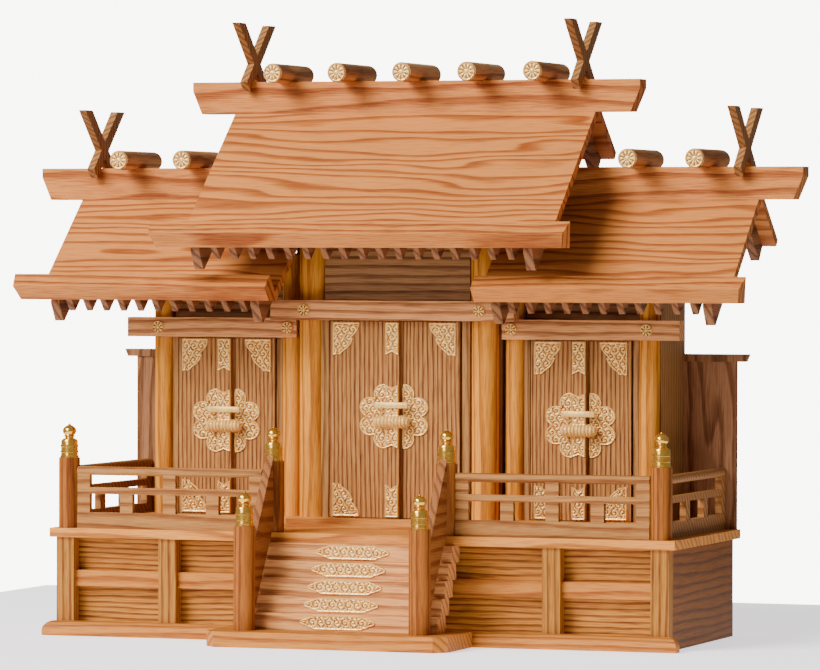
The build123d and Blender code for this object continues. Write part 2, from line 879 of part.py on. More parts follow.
def rafter_places():
    middle = (side_roof_inner + side_roof_outer) / 2
    main = [(main_roof, main_rafter_pitch * (index - (main_rafters - 1) / 2))
            for index in range(main_rafters)]
    side = [(side_roof, middle + side_rafter_pitch * (index - (side_rafters - 1) / 2))
            for index in range(side_rafters)]
    return main + side + [(roof, -x) for roof, x in side]


def rafters():
    half = rafter_wide / 2
    outlines = {roof: rafter_outlines(roof) for roof in (main_roof, side_roof)}
    pieces = []
    for roof, x in rafter_places():
        pieces += [side_profile(outline, x - half, x + half) for outline in outlines[roof]]
    return pieces


def barge_boards():
    pieces = []
    for roof, x0, x1 in roof_spans():
        inner = x0 + barge_inset
        outer = x1 - barge_inset
        for outline in barge_outlines(roof):
            pieces.append(side_profile(outline, inner, inner + barge_thick))
            pieces.append(side_profile(outline, outer - barge_thick, outer))
    return pieces


def ridges():
    y0 = seat_front
    y1 = seat_front + ridge_thick

    def ridge(x0, x1, z, raked):
        high = z + ridge_tall
        cheek = high - ridge_cheek
        outline = [(x1 - ridge_rake, z), (x1, cheek), (x1, high)]
        if raked:
            outline += [(x0, high), (x0, cheek), (x0 + ridge_rake, z)]
        else:
            outline += [(x0, high), (x0, z)]
        return front_profile(outline, y0, y1)

    main = ridge(-ridge_half, ridge_half, main_seat, True)
    side = ridge(wall_out + ridge_clearance, side_ridge_outer, side_seat, False)
    return [main] + both(side)


def log_places():
    main = [(log_pitch * index, main_seat + ridge_tall) for index in range(-2, 3)]
    side_z = side_seat + ridge_tall
    side = [(side_log_x + log_pitch * index, side_z) for index in range(2)]
    return main + side + [(-x, z) for x, z in side]


def ridge_logs():
    """Round logs laid across the ridges, flat where they sit."""
    logs = []
    for x, z in log_places():
        rod = Cylinder(log_radius, log_long, align=(Align.CENTER, Align.CENTER, Align.MAX))
        rod = fillet(rod.edges().sort_by(Axis.Z)[0], log_round)
        centre = z + log_radius - log_sink
        rod = Pos(x, log_front, centre) * Rot(90, 0, 0) * rod
        bed = block(x - log_radius, x + log_radius, seat_front - seam,
                    seat_front + ridge_thick + seam, z - 10, z + seat)
        logs.append(rod - bed)
    return logs


def log_caps():
    caps = []
    for x, z in log_places():
        disc = Cylinder(log_cap_radius, log_cap_thick, align=(Align.CENTER, Align.CENTER, Align.MIN))
        centre = z + log_radius - log_sink
        caps.append(Pos(x, log_front, centre) * Rot(90, 0, 0) * disc)
    return caps


def crossed_board(ridge_top, lean, x0, x1):
    """One board of a crossed pair: level at its top, square at its foot."""
    centre = (seat_front + ridge_thick / 2, ridge_top + crossed_above)
    angle = crossed_angle if lean > 0 else 180 - crossed_angle
    half = crossed_wide / 2
    reach = 2 * crossed_tall / math.sin(math.radians(crossed_angle))
    foot = step_along(centre, angle + 180, crossed_leg)
    far = step_along(centre, angle, reach)
    outline = [step_along(foot, angle + 90, half), step_along(foot, angle - 90, half),
               step_along(far, angle - 90, half), step_along(far, angle + 90, half)]
    board = side_profile(outline, x0, x1)
    top = centre[1] + crossed_tall
    spare = 4 * crossed_tall
    return board - block(x0 - 1, x1 + 1, centre[0] - spare, centre[0] + spare, top, top + spare)


def crossed_boards():
    """Pairs of boards halved into each other, standing astride the ridges."""
    pieces = []
    places = ((crossed_x, main_seat), (side_crossed_x, side_seat))
    for x, seat_z in places:
        ridge_top = seat_z + ridge_tall
        x0 = x - crossed_thick / 2
        x1 = x + crossed_thick / 2
        pair = crossed_board(ridge_top, 1, x0, x1) + crossed_board(ridge_top, -1, x0, x1)
        pair -= block(x0 - 1, x1 + 1, seat_front - seat, seat_front + ridge_thick + seat,
                      seat_z, ridge_top + seat)
        pieces += both(pair)
    return pieces


os.makedirs("parts", exist_ok=True)
save("base_posts", base_posts())
save("base_mid_rails", base_mid_rails())
save("base_front_panel", base_front_panel())
save("base_side_panels", base_side_panels())
save("base_back_panel", base_back_panel())
save("base_moulding", base_moulding())
save("floor_board", floor_board())
save("stair_plate", stair_plate())
save("stair_steps", stair_steps())
save("step_plaques", step_plaques())
save("stair_rails", stair_rails())
save("rail_posts", rail_posts())
save("post_caps", post_caps())
save("front_railings", front_railings())
save("side_railings", side_railings())
save("cell_sills", cell_sills())
save("pillars", pillars())
save("tie_beams", tie_beams())
save("beam_rosettes", beam_rosettes())
save("friezes", friezes())
save("side_walls", side_walls())
save("back_walls", back_walls())
save("door_jambs", door_jambs())
save("wings", wings())
save("roof_front_boards", drawn("front_board"))
save("roof_rear_boards", drawn("rear_board"))
save("eave_bars", eave_bars())
save("rafters", rafters())
save("barge_boards", barge_boards())
save("ridges", ridges())
save("ridge_logs", ridge_logs())
save("log_caps", log_caps())
save("crossed_boards", crossed_boards())

doors = (("main", 0, main_door_half, main_door_front, main_beam_low),
         ("left", -side_centre, side_door_half, side_door_front, side_beam_low),
         ("right", side_centre, side_door_half, side_door_front, side_beam_low))
for name, centre, half, front, beam_low in doors:
    for side, hand in ((-1, "left"), (1, "right")):
        node = f"{name}_door_{hand}_leaf"
        save(node, [door_leaf(centre, half, front, beam_low, side)])
        fittings = leaf_fittings(centre, half, front, beam_low, side)
        save(f"{node}_fittings", fittings)
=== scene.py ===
import json
import math

import bmesh
import bpy
from bpy.props import FloatProperty, PointerProperty, StringProperty
from mathutils import Matrix, Vector, kdtree

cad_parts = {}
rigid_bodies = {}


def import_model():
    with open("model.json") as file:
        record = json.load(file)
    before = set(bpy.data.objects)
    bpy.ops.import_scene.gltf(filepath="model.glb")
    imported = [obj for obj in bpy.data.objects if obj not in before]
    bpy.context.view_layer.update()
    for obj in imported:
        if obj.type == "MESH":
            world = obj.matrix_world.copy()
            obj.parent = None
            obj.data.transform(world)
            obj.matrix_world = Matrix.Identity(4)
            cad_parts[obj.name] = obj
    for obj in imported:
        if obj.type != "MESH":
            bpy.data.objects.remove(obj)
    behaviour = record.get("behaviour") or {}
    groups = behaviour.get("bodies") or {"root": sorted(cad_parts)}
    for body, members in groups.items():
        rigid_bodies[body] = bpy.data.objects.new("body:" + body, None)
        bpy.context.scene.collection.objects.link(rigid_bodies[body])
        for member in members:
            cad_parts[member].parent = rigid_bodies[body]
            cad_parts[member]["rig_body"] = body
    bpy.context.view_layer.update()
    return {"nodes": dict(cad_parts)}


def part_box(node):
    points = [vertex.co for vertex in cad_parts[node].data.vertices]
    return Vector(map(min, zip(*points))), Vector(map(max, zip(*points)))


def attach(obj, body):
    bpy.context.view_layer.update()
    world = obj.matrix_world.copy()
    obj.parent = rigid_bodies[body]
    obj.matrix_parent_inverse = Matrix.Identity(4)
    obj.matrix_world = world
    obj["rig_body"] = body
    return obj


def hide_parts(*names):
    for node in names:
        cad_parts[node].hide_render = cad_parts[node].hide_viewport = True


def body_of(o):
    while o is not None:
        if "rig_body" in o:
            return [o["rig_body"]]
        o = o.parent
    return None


bl_info = {
    "name": "Household shrine dressing",
    "version": (1, 0, 0),
    "blender": (4, 5, 0),
    "location": "View3D > Sidebar > Shrine",
    "description": "Wood, gilt relief fittings and turned caps for a household shrine",
    "category": "Object",
}

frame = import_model()

# A millimetre in metres, and a metre in millimetres
MM = 0.001
METRE = 1 / MM

# Camera of the photograph, in the frame of the solids: metres, degrees and mm
CAMERA_PLACE = (1.1765, -3.25345, 0.2579)
CAMERA_TURN = 19.5647
CAMERA_DOWN = 0.9819
CAMERA_ROLL = 0.1243
CAMERA_LENS = 232.2


def srgb(code):
    """A hex colour as linear red, green, blue and alpha."""
    values = [int(code[index:index + 2], 16) / 255 for index in (1, 3, 5)]
    linear = [v / 12.92 if v <= 0.04045 else ((v + 0.055) / 1.055) ** 2.4 for v in values]
    return (*linear, 1.0)


def mean(light, dark):
    """The hex colour half way between two others."""
    pairs = [(int(light[index:index + 2], 16), int(dark[index:index + 2], 16)) for index in (1, 3, 5)]
    return "#" + "".join(f"{(one + other) // 2:02x}" for one, other in pairs)


def add_node(tree, kind, links=None, values=None, stops=(), **settings):
    """Add a node, set its attributes, sockets and colour stops, and link sockets given as (node, output)."""
    node = tree.nodes.new(kind)
    for key, value in settings.items():
        if hasattr(node, key):
            setattr(node, key, value)
        else:
            node.inputs[key.replace("_", " ")].default_value = value
    for key, value in (values or {}).items():
        node.inputs[key].default_value = value
    for key, (source, output) in (links or {}).items():
        tree.links.new(source.outputs[output], node.inputs[key])
    if stops:
        elements = node.color_ramp.elements
        elements.remove(elements[-1])
        for index, (place, code) in enumerate(stops):
            element = elements.new(place) if index else elements[0]
            element.position = place
            element.color = srgb(code)
    return node


def new_material(name):
    """A material with only its output and shader."""
    material = bpy.data.materials.new(name)
    material.use_nodes = True
    tree = material.node_tree
    tree.nodes.clear()
    shader = add_node(tree, "ShaderNodeBsdfPrincipled")
    add_node(tree, "ShaderNodeOutputMaterial", {"Surface": (shader, "BSDF")})
    return material, tree, shader


class WoodSizes(bpy.types.PropertyGroup):
    """Sizes of the zelkova grain."""

    ring_mm: FloatProperty(
        name="Ring spacing", description="Width of one light and dark growth band, in mm",
        default=7.0, min=0.5)
    fibre_mm: FloatProperty(
        name="Fibre width", description="Width of the fine streaks along the grain, in mm",
        default=0.6, min=0.2)
    wander_mm: FloatProperty(
        name="Wander", description="How far the bands leave a straight line, in mm", default=16.0, min=0.0)
    roughness: FloatProperty(
        name="Roughness", description="Roughness of the planed, unvarnished face", default=0.55, min=0, max=1,
        subtype="FACTOR")
    shine: FloatProperty(
        name="Shine", description="How much the unvarnished wood mirrors", default=0.15, min=0, max=1,
        subtype="FACTOR")


class WoodColours(bpy.types.PropertyGroup):
    """Colours of the zelkova pieces."""

    roof_light: StringProperty(name="Roof light", description="Pale wood of the roof", default="#da8b45")
    roof_dark: StringProperty(name="Roof dark", description="Grain lines of the roof", default="#8c4218")
    body_light: StringProperty(name="Body light", description="Pale wood of the base", default="#c68436")
    body_dark: StringProperty(name="Body dark", description="Grain lines of the base", default="#6a340b")
    post_light: StringProperty(name="Post light", description="Pale wood of posts", default="#eb9d36")
    post_dark: StringProperty(name="Post dark", description="Grain of the round posts", default="#a55b14")
    door_light: StringProperty(name="Door light", description="Pale wood of doors", default="#bd8244")
    door_dark: StringProperty(name="Door dark", description="Grain lines of the doors", default="#5d2e12")


class MetalSizes(bpy.types.PropertyGroup):
    """Sizes and colours of the gilt and polished brass."""

    gilt: StringProperty(name="Gilt", description="Bright gilding", default="#ffd381")
    worn: StringProperty(name="Worn gilt", description="Gilding that has dulled", default="#f3b858")
    # Recess colours, dark and pale: painted shade in the hollows between the raised scrolls
    recess: StringProperty(name="Recess", description="Stained hollows", default="#8e4d15")
    recess_pale: StringProperty(name="Pale recess", description="Thin stain", default="#c07c2e")
    brass: StringProperty(name="Brass", description="Polished caps of the posts", default="#e6b244")
    brass_pale: StringProperty(name="Pale brass", description="Brighter polish", default="#efc05a")
    cell_mm: FloatProperty(
        name="Grid", description="Size of one facet of the pressed plates, in mm", default=0.45, min=0.2)
    curl_mm: FloatProperty(
        name="Curl", description="Distance between the centres of two scrolls, in mm", default=5.6, min=2.0)
    coil_mm: FloatProperty(
        name="Coil", description="Distance between two turns of a scroll, in mm", default=2.1, min=0.8)
    ground_mm: FloatProperty(
        name="Ground", description="Thickness of the plate under its relief, in mm", default=0.35, min=0.1)
    relief_mm: FloatProperty(
        name="Relief", description="Height of the raised scrolls, in mm", default=0.6, min=0.1)
    bead_mm: FloatProperty(
        name="Bead", description="Width of the raised rim, in mm", default=1.1, min=0.3)


class StageSizes(bpy.types.PropertyGroup):
    """Floor and lights."""

    floor: StringProperty(name="Floor", description="Colour of the floor", default="#faf7fb")
    key_watts: FloatProperty(
        name="Key", description="Power of the large light in front on the left", default=150.0, min=0,
        unit="POWER")
    front_watts: FloatProperty(
        name="Front", description="Power of the low light that reaches under the eaves", default=30.0, min=0,
        unit="POWER")
    world: FloatProperty(
        name="Room", description="Strength of the surrounding light", default=0.27, min=0)
    paper: FloatProperty(
        name="Paper", description="Brightness of the paper behind the shrine", default=9.0, min=0)
    paper_angle: FloatProperty(
        name="Paper angle", description="Half of the angle that the paper fills, in degrees",
        default=9.0, min=1)
    table_half: FloatProperty(
        name="Table", description="Half of the table's width, in metres", default=0.42, min=0.3)
    table_glow: FloatProperty(
        name="Table glow", description="Light let through by the table", default=1.2, min=0)


# Turn of the pattern that lays the grain along an axis, in degrees
GRAIN_TURNS = {"x": (0.0, 0.0, 0.0), "y": (0.0, 0.0, 90.0), "z": (0.0, 90.0, 0.0)}

# Sizes of the zelkova's figure in mm: along and across the grain
WANDER_SIZE = (190, 34)
PATCH_SIZE = (160, 45)
PORE_DEPTH = 0.15

# How much longer than wide a fibre is, and how the rings tilt and wander
FIBRE_STRETCH = 26
RING_TILT = 0.75
WANDER_GAIN = 2.4

# Shares of one ring: where its row of pores starts and ends, and where it has faded in the next ring
ROW_START = 0.5
ROW_END = 0.98
ROW_FADE = 0.14

# Which part of the fibre noise shows as pores, and how dark the rows and the pores are
PORE_RANGE = (0.42, 0.68)
ROW_WEIGHT = 0.62
PORE_WEIGHT = 0.46
TONE_PLACES = (0.08, 0.5, 0.92)

# Paler and darker patches of a board, and the gloss and the bump of planed wood
PATCH_RANGE = (0.86, 1.12)
WOOD_IOR = 1.48
BUMP_STRENGTH = 0.25


def zelkova(name, light, dark, along, ring_scale=1.0, figure=1.0, pores=1.0):
    """Planed zelkova: broad annual bands that end in lines of open pores, so the eye sees
    brown streaks on salmon, running along one axis."""
    sizes = bpy.context.scene.shrine_wood
    material, tree, shader = new_material(name)
    turn = tuple(math.radians(angle) for angle in GRAIN_TURNS[along])
    coords = add_node(tree, "ShaderNodeTexCoord")
    grain = add_node(tree, "ShaderNodeMapping", {"Vector": (coords, "Object")}, Rotation=turn,
                     vector_type="POINT")
    long, wide = (METRE / size for size in WANDER_SIZE)
    slow = add_node(tree, "ShaderNodeMapping", {"Vector": (grain, "Vector")}, Scale=(long, wide, wide))
    wander = add_node(tree, "ShaderNodeTexNoise", {"Vector": (slow, "Vector")}, Scale=1.0, Detail=2.0)
    # The bands lie aslant in the board, so they open into flames where they wander
    split = add_node(tree, "ShaderNodeSeparateXYZ", {"Vector": (grain, "Vector")})
    rings_per_metre = METRE / (sizes.ring_mm * ring_scale)
    across = add_node(tree, "ShaderNodeMath", {0: (split, "Z")}, {1: rings_per_metre * RING_TILT},
                      operation="MULTIPLY")
    deep = add_node(tree, "ShaderNodeMath", {0: (split, "Y")}, {1: rings_per_metre}, operation="MULTIPLY")
    summed = add_node(tree, "ShaderNodeMath", {0: (across, 0), 1: (deep, 0)}, operation="ADD")
    shift = add_node(tree, "ShaderNodeMath", {0: (wander, "Fac")},
                     {1: sizes.wander_mm / sizes.ring_mm * WANDER_GAIN * figure}, operation="MULTIPLY")
    rings = add_node(tree, "ShaderNodeMath", {0: (summed, 0), 1: (shift, 0)}, operation="ADD")
    saw = add_node(tree, "ShaderNodeMath", {0: (rings, 0)}, operation="FRACT")
    # Each band darkens slowly, ends in a row of pores and fades at the start of the next
    band = add_node(tree, "ShaderNodeMapRange", {"Value": (saw, 0)}, interpolation_type="SMOOTHSTEP",
                    From_Min=ROW_START, From_Max=ROW_END)
    edge = add_node(tree, "ShaderNodeMapRange", {"Value": (saw, 0)}, interpolation_type="SMOOTHSTEP",
                    From_Min=0.0, From_Max=ROW_FADE, To_Min=1.0, To_Max=0.0)
    line = add_node(tree, "ShaderNodeMath", {0: (band, 0), 1: (edge, 0)}, operation="MAXIMUM")
    # Fine fibres, drawn coarser than real ones so that they show
    fibre = METRE / sizes.fibre_mm
    fine = add_node(tree, "ShaderNodeMapping", {"Vector": (grain, "Vector")},
                    Scale=(fibre / FIBRE_STRETCH, fibre, fibre))
    fibres = add_node(tree, "ShaderNodeTexNoise", {"Vector": (fine, "Vector")}, Scale=1.0, Detail=3.0)
    pore = add_node(tree, "ShaderNodeMapRange", {"Value": (fibres, "Fac")},
                    From_Min=PORE_RANGE[0], From_Max=PORE_RANGE[1])
    weight = add_node(tree, "ShaderNodeMath", {0: (line, 0)}, {1: ROW_WEIGHT}, operation="MULTIPLY")
    pored = add_node(tree, "ShaderNodeMath", {0: (pore, 0)}, {1: PORE_WEIGHT * pores}, operation="MULTIPLY")
    tone = add_node(tree, "ShaderNodeMath", {0: (weight, 0), 1: (pored, 0)}, operation="ADD")
    colour = add_node(tree, "ShaderNodeValToRGB", {"Fac": (tone, 0)},
                      stops=zip(TONE_PLACES, (light, mean(light, dark), dark)))
    # Patches of the board that are a little darker or paler
    long, wide = (METRE / size for size in PATCH_SIZE)
    patch_map = add_node(tree, "ShaderNodeMapping", {"Vector": (grain, "Vector")}, Scale=(long, wide, wide))
    patch = add_node(tree, "ShaderNodeTexNoise", {"Vector": (patch_map, "Vector")}, Scale=1.0, Detail=1.0)
    value = add_node(tree, "ShaderNodeMapRange", {"Value": (patch, "Fac")},
                     To_Min=PATCH_RANGE[0], To_Max=PATCH_RANGE[1])
    shaded = add_node(tree, "ShaderNodeHueSaturation", {"Color": (colour, "Color"), "Value": (value, 0)})
    bump = add_node(tree, "ShaderNodeBump", {"Height": (tone, 0)}, invert=True, Strength=BUMP_STRENGTH,
                    Distance=PORE_DEPTH * MM)
    tree.links.new(shaded.outputs["Color"], shader.inputs["Base Color"])
    tree.links.new(bump.outputs["Normal"], shader.inputs["Normal"])
    shader.inputs["Roughness"].default_value = sizes.roughness
    shader.inputs["IOR"].default_value = WOOD_IOR
    shader.inputs["Specular IOR Level"].default_value = sizes.shine
    return material


# Each brass: size of its patches in mm, their detail, place and name of its two colours, metallic, roughness
BRASSES = {
    # Pressed sheet with pale gilding: cream where it catches the light, a little uneven
    "gilt_stamped_brass": (2.381, 3.0, (0.3, "worn"), (0.6, "gilt"), 0.3, 0.32),
    # The hollows between the raised scrolls, brown as painted shade, which throws the pattern forward
    "stained_brass": (1.4286, 2.0, (0.35, "recess"), (0.7, "recess_pale"), 0.4, 0.5),
    # Turned and polished by hand: bright yellow with sharp glints
    "turned_cap_brass": (5.5556, 2.0, (0.3, "brass"), (0.8, "brass_pale"), 0.9, 0.2),
}


def brass(name):
    """The brass of that name, made at its first use."""
    if name in bpy.data.materials:
        return bpy.data.materials[name]
    colours = bpy.context.scene.shrine_metal
    patch_mm, detail, low, high, metallic, roughness = BRASSES[name]
    material, tree, shader = new_material(name)
    coords = add_node(tree, "ShaderNodeTexCoord")
    patches = add_node(tree, "ShaderNodeTexNoise", {"Vector": (coords, "Object")}, Scale=METRE / patch_mm,
                       Detail=detail)
    colour = add_node(tree, "ShaderNodeValToRGB", {"Fac": (patches, "Fac")},
                      stops=[(place, getattr(colours, key)) for place, key in (low, high)])
    tree.links.new(colour.outputs["Color"], shader.inputs["Base Color"])
    shader.inputs["Metallic"].default_value = metallic
    shader.inputs["Roughness"].default_value = roughness
    return material


def dress(nodes, material):
    """Give CAD nodes one material on every slot."""
    for name in nodes:
        piece = frame["nodes"][name]
        if not piece.material_slots:
            piece.data.materials.append(material)
        for place in piece.material_slots:
            place.material = material


DOOR_LEAVES = tuple(name for name in frame["nodes"] if name.endswith("_leaf"))

# Each zelkova: name, pieces, its own tones or a name in the panel's colours, the grain's axis, and the scale
# of its rings, its figure and its pores
WOODS = (
    # Broad flames of salmon and brown across the wide roof boards, with few pores
    ("roof_boards", ("roof_front_boards", "roof_rear_boards"), "roof", "x", 1.5, 1.15, 0.7),
    # The same wood sawn straighter, in long even lines
    ("ridge", ("ridges", "eave_bars"), "roof", "x", 1.0, 0.6, 1.0),
    # Brown and quiet, because it lies in the shade of the eaves
    ("eaves", ("rafters", "barge_boards"), ("#a06c45", "#5c3926"), "y", 1.0, 0.5, 1.0),
    # Narrow dark boards whose lines run up to their tips
    ("crossed_boards", ("crossed_boards",), ("#b47d48", "#6c4425"), "z", 0.6, 0.5, 1.0),
    # Pale turned logs, lined from end to end
    ("logs", ("ridge_logs",), ("#d59f67", "#8d5d31"), "y", 0.9, 0.6, 1.0),
    # Yellower round pillars, lined upright
    ("pillars", ("pillars",), "post", "z", 0.8, 0.5, 1.0),
    # Reddish posts of the gallery, close grained
    ("rail_posts", ("rail_posts",), ("#a05e24", "#652f09"), "z", 0.5, 0.4, 1.0),
    # Grey brown boards in shade over the beams
    ("friezes", ("friezes",), ("#ae7c4c", "#623b1c"), "x", 0.6, 0.4, 1.0),
    # Pale beams with brown lines from side to side; part of their paleness is painted light that reaches them
    # under the eaves
    ("beams", ("tie_beams",), ("#eea464", "#8f522b"), "x", 0.6, 0.4, 1.0),
    # Quartered leaves, in close upright lines
    ("doors", DOOR_LEAVES, "door", "z", 0.32, 0.45, 1.0),
    # Plain upright boards of the cells
    ("jambs", ("door_jambs", "side_walls", "back_walls"), ("#b07c46", "#6f4215"), "z", 0.6, 0.5, 1.0),
    # Reddish brown wings with a wide figure
    ("walls", ("wings",), ("#a16f4a", "#63381a"), "z", 1.2, 0.9, 1.0),
    # Boards along the base's ends, dark as painted shade on the end faces
    ("side_panels", ("base_side_panels",), ("#7f490d", "#512c05"), "y", 0.6, 0.5, 1.0),
    # Set back panels with strong level lines
    ("base_panels", ("base_front_panel", "base_back_panel"), "body", "x", 0.42, 0.5, 1.0),
    # Rails and mouldings a little redder than the panels
    ("base_rails", ("base_mid_rails", "base_moulding", "stair_plate"), ("#c17d34", "#8c4715"), "x",
     0.8, 0.5, 1.0),
    # Straight grained posts of the base
    ("base_posts", ("base_posts",), ("#ac732c", "#6a380e"), "z", 0.5, 0.3, 1.0),
    # The palest boards, where the light falls on the gallery floor
    ("floor", ("floor_board", "cell_sills"), ("#de9341", "#9f5920"), "x", 1.2, 0.7, 1.0),
    # Pale treads with thin brown lines
    ("steps", ("stair_steps",), ("#eaa763", "#9c5b30"), "x", 0.9, 0.6, 1.0),
    # Brown sloping rails beside the stair
    ("stair_rails", ("stair_rails",), ("#9d6431", "#6b3413"), "y", 0.9, 0.6, 1.0),
    # Thin rails of the gallery
    ("railings", ("front_railings", "side_railings"), ("#af7a41", "#78411a"), "x", 0.8, 0.4, 1.0),
)


class SHRINE_OT_wood(bpy.types.Operator):
    """Give every wooden piece its own planed zelkova"""

    bl_idname = "shrine.wood"
    bl_label = "Zelkova wood"

    def execute(self, context):
        tint = context.scene.shrine_colours
        for name, nodes, tone, along, ring_scale, figure, pores in WOODS:
            if isinstance(tone, str):
                tone = (getattr(tint, f"{tone}_light"), getattr(tint, f"{tone}_dark"))
            dress(nodes, zelkova(f"zelkova_{name}", *tone, along, ring_scale, figure, pores))
        return {"FINISHED"}


def new_object(name, data):
    """An object of some data, linked to the scene."""
    made = bpy.data.objects.new(name, data)
    bpy.context.collection.objects.link(made)
    return made


def new_piece(name, bm, materials, node, smooth_under):
    """Turn a bmesh into an object at the origin that takes a CAD node's place on its body."""
    bmesh.ops.recalc_face_normals(bm, faces=bm.faces)
    mesh = bpy.data.meshes.new(name)
    bm.to_mesh(mesh)
    bm.free()
    piece = new_object(name, mesh)
    for material in materials:
        mesh.materials.append(brass(material))
    mesh.shade_smooth()
    mesh.set_sharp_from_angle(angle=math.radians(smooth_under))
    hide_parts(node)
    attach(piece, body_of(frame["nodes"][node])[0])


def mm_box(node):
    """The lowest and highest corners of a CAD node in mm."""
    low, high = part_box(node)
    return low / MM, high / MM


def smooth_step(low, high, value):
    """From 0 to 1, without a corner, as a value goes from low to high."""
    share = min(max((value - low) / (high - low), 0.0), 1.0)
    return share * share * (3 - 2 * share)


# Rows of scrolls are this share of their spacing apart, and a coil rises between these heights of its wave
ROW_SHARE = 0.86
COIL_RISE = (-0.6, 0.3)


def scrolls(x, z):
    """Height from 0 to 1 of a ground of small curls that turn alternately left and right."""
    sizes = bpy.context.scene.shrine_metal
    row_mm = sizes.curl_mm * ROW_SHARE
    row = round(z / row_mm)
    offset = sizes.curl_mm / 2 if row % 2 else 0.0
    column = round((x - offset) / sizes.curl_mm)
    dx = x - offset - column * sizes.curl_mm
    dz = z - row * row_mm
    hand = 1 if (row + column) % 2 else -1
    phase = hand * math.atan2(dz, dx) + math.tau * math.hypot(dx, dz) / sizes.coil_mm
    return smooth_step(*COIL_RISE, math.cos(phase))


def half_round(share):
    """Height from 0 to 1 of a round bead, from one side of it to the other."""
    return math.sqrt(max(0.0, 1 - (2 * share - 1) ** 2))


def close_relief(bm, made, raised, gilt_from, face):
    """Give a relief's low facets the painted shade of the hollows, and draw its rim back to the face that it
    stands on.
    """
    for facet in dict.fromkeys(facet for vert in made for facet in vert.link_faces):
        facet.material_index = 0 if sum(raised[vert] for vert in facet.verts) > gilt_from else 1
    rim = dict.fromkeys(edge for vert in made for edge in vert.link_edges if edge.is_boundary)
    for drawn in bmesh.ops.extrude_edge_only(bm, edges=list(rim))["geom"]:
        if isinstance(drawn, bmesh.types.BMVert):
            drawn.co.y = face * MM
        elif isinstance(drawn, bmesh.types.BMFace):
            drawn.material_index = 0


# Inside the bead, the pattern reaches its full height at this many bead widths from the edge
PATTERN_FULL = 1.4
# A facet of a plate is gilt if its four corners' heights sum up to more than this, and takes the painted
# shade of the hollows if not
PLATE_GILT_FROM = 1.5


def pressed_plate(bm, rows, face, centre_x, centre_z):
    """A thin plate pressed in relief, from equal rows of (x, z) points in mm, standing on a face.

    The relief is a raised rim and scrolls inside it; low facets get the second material, the painted shade of
    the hollows."""
    sizes = bpy.context.scene.shrine_metal
    columns = len(rows[0])
    places = [place for row in rows for place in row]
    inner = range(columns, len(places) - columns)
    rim = [place for index, place in enumerate(places)
           if index not in inner or index % columns in (0, columns - 1)]
    finder = kdtree.KDTree(len(rim))
    for index, (x, z) in enumerate(rim):
        finder.insert((x, 0, z), index)
    finder.balance()
    made = bmesh.ops.create_grid(bm, x_segments=columns - 1, y_segments=len(rows) - 1, size=1.0)["verts"]
    raised = {}
    for vert, (x, z) in zip(made, places):
        across = finder.find((x, 0, z))[2] / sizes.bead_mm
        if across < 1:
            raised[vert] = half_round(across)
        else:
            raised[vert] = scrolls(x - centre_x, z - centre_z) * smooth_step(1.0, PATTERN_FULL, across)
        vert.co = Vector((x, face - sizes.ground_mm - sizes.relief_mm * raised[vert], z)) * MM
    close_relief(bm, made, raised, PLATE_GILT_FROM, face)


def facets_over(length):
    """How many facets cover a length in mm."""
    return math.ceil(length / bpy.context.scene.shrine_metal.cell_mm)


def steps(start, end):
    """Evenly spaced values about one facet apart, both ends included."""
    count = max(3, facets_over(abs(end - start)))
    return spread(start, end, count)


def spread(start, end, count):
    """Values that divide a span into equal parts, both ends included."""
    return [start + (end - start) * index / count for index in range(count + 1)]


# Slanting edge of a corner plate: shares of its height and of its width at the start and end of each scallop
CORNER_SCALLOPS = ((0.0, 0.48, 1.0, 0.66), (0.48, 0.93, 0.76, 0.32), (0.93, 1.0, 0.32, 0.12))
SCALLOP_BULGE = 0.09


def corner_plate(bm, corner_x, corner_z, face, toward_x, toward_z):
    """A plate in a leaf's corner, its slanting edge in scallops."""
    rows = []
    for up in steps(0.0, CORNER_TALL):
        share = up / CORNER_TALL
        low, high, reach_low, reach_high = next(row for row in CORNER_SCALLOPS if share <= row[1])
        along = (share - low) / (high - low)
        bulge = SCALLOP_BULGE * math.sin(math.pi * along)
        reach = CORNER_WIDE * (reach_low + (reach_high - reach_low) * along + bulge)
        rows.append([(corner_x + toward_x * x, corner_z + toward_z * up)
                     for x in spread(0.0, reach, facets_over(CORNER_WIDE))])
    pressed_plate(bm, rows, face, corner_x, corner_z)


# Lobes of the crest: their number, the turn of the first and their radius as a share of the crest's
CREST_LOBES = 8
CREST_TURN = math.radians(22.5)
CREST_LOBE_SHARE = 0.29
# What keeps a half crest open at the ends of its split: an angle, and a least width in mm
CREST_END_ANGLE = 0.02
CREST_LEAST = 0.05


def crest_reach(angle, radius, lobe):
    """The cloud-edged outline: distance from the middle at an angle."""
    ring = radius - lobe
    reach = ring
    for index in range(CREST_LOBES):
        off = angle - (CREST_TURN + index * math.tau / CREST_LOBES)
        side = ring * math.sin(off)
        if abs(side) <= lobe and math.cos(off) > 0:
            reach = max(reach, ring * math.cos(off) + math.sqrt(lobe * lobe - side * side))
    return reach


def crest_half(bm, centre_x, centre_z, face, side, split):
    """Half of the round crest, from its straight split out to the lobes."""
    radius = CREST_RADIUS
    lobe = radius * CREST_LOBE_SHARE
    limit = math.acos(split / (radius * CREST_STRETCH)) - CREST_END_ANGLE
    rows = []
    for arc in steps(-limit * radius, limit * radius):
        angle = arc / radius
        start = split / (CREST_STRETCH * math.cos(angle))
        end = max(crest_reach(angle, radius, lobe), start + CREST_LEAST)
        along_x = side * CREST_STRETCH * math.cos(angle)
        along_z = math.sin(angle)
        rows.append([(centre_x + reach * along_x, centre_z + reach * along_z)
                     for reach in spread(start, end, facets_over(radius - split))])
    pressed_plate(bm, rows, face, centre_x, centre_z)


